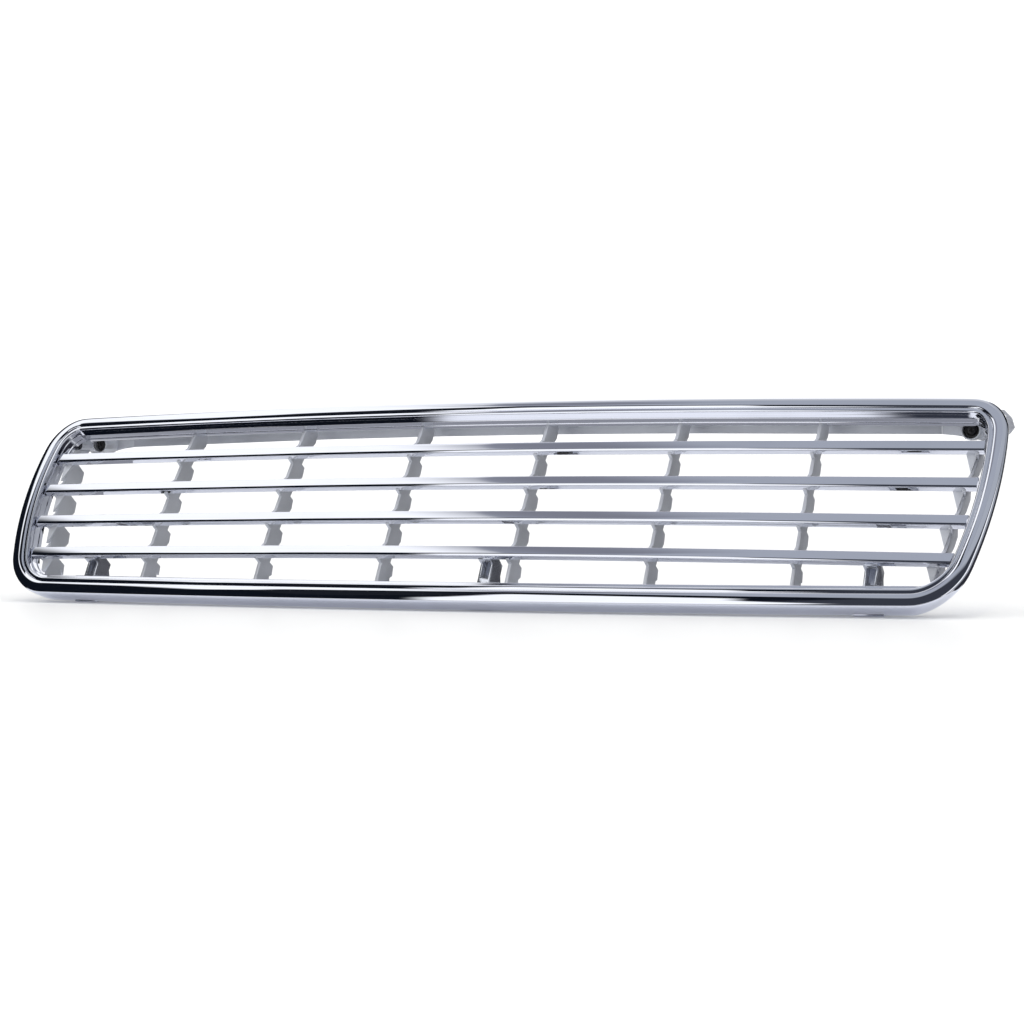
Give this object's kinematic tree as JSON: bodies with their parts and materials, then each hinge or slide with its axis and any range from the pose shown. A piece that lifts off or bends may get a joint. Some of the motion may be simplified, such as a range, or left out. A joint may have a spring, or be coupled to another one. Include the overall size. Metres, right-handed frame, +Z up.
{
  "type": "vehicle front grille",
  "caption": "Wide chrome vehicle grille: rounded surround, horizontal slats, upright ribs, rear rails, lower feet with sprung latches and upper corner brackets.",
  "frame": {"origin": "on the ground under the middle of the footprint, with the grille standing on its lower edge and feet as it does in the picture", "axes": "+Z up, -Y out of the front face, +X to the right of a person who looks at the front"},
  "size_m": [0.8348, 0.164, 0.1601],
  "materials": {
    "bright_chrome": "mirror-bright plating on moulded plastic",
    "satin_chrome": "duller thin plating on the rear mouldings",
    "black_plastic": "fine-grained matte black",
    "spring_steel": "plain steel pin",
    "zinc": "bright zinc-plated steel"
  },
  "bodies": {
    "grille": {"surround_frame": "bright_chrome", "slat_1": "bright_chrome", "slat_2": "bright_chrome", "slat_3": "bright_chrome", "slat_4": "bright_chrome", "rib_1": "satin_chrome", "rib_2": "satin_chrome", "rib_3": "satin_chrome", "rib_4": "satin_chrome", "rib_5": "satin_chrome", "rib_6": "satin_chrome", "end_rib_left": "satin_chrome", "end_rib_right": "satin_chrome", "upper_rail": "satin_chrome", "lower_rail": "satin_chrome", "upper_rail_screw_1": "zinc", "upper_rail_screw_2": "zinc", "upper_rail_screw_3": "zinc", "upper_rail_screw_4": "zinc", "upper_rail_screw_5": "zinc", "upper_rail_screw_6": "zinc", "lower_rail_screw_1": "zinc", "lower_rail_screw_2": "zinc", "lower_rail_screw_3": "zinc", "lower_rail_screw_4": "zinc", "lower_rail_screw_5": "zinc", "lower_rail_screw_6": "zinc", "lower_rail_screw_7": "zinc", "lower_rail_screw_8": "zinc", "lower_rail_screw_9": "zinc", "foot_left": "satin_chrome", "foot_centre": "satin_chrome", "foot_right": "satin_chrome", "latch_pin_left": "spring_steel", "latch_pin_centre": "spring_steel", "latch_pin_right": "spring_steel", "corner_bracket_left": "satin_chrome", "corner_bracket_right": "satin_chrome", "corner_screw_left_outer": "zinc", "corner_screw_left_inner": "zinc", "corner_screw_right_outer": "zinc", "corner_screw_right_inner": "zinc", "corner_washer_left_outer": "zinc", "corner_washer_left_inner": "zinc", "corner_washer_right_outer": "zinc", "corner_washer_right_inner": "zinc"},
    "left_latch": {"latch_left": "black_plastic"},
    "centre_latch": {"latch_centre": "black_plastic"},
    "right_latch": {"latch_right": "black_plastic"}
  },
  "joints": [
    {"name": "left_latch_pivot", "type": "hinge", "parent": "grille", "child": "left_latch", "pos_m": [-0.3285, -0.00458, 0.0075], "axis": [-1, 0, 0], "range_deg": [0, 10], "stiffness_Nm_per_rad": 0.08},
    {"name": "centre_latch_pivot", "type": "hinge", "parent": "grille", "child": "centre_latch", "pos_m": [0.036, -0.00458, 0.0075], "axis": [-1, 0, 0], "range_deg": [0, 10], "stiffness_Nm_per_rad": 0.08},
    {"name": "right_latch_pivot", "type": "hinge", "parent": "grille", "child": "right_latch", "pos_m": [0.331, -0.00458, 0.0075], "axis": [-1, 0, 0], "range_deg": [0, 10], "stiffness_Nm_per_rad": 0.08}
  ]
}
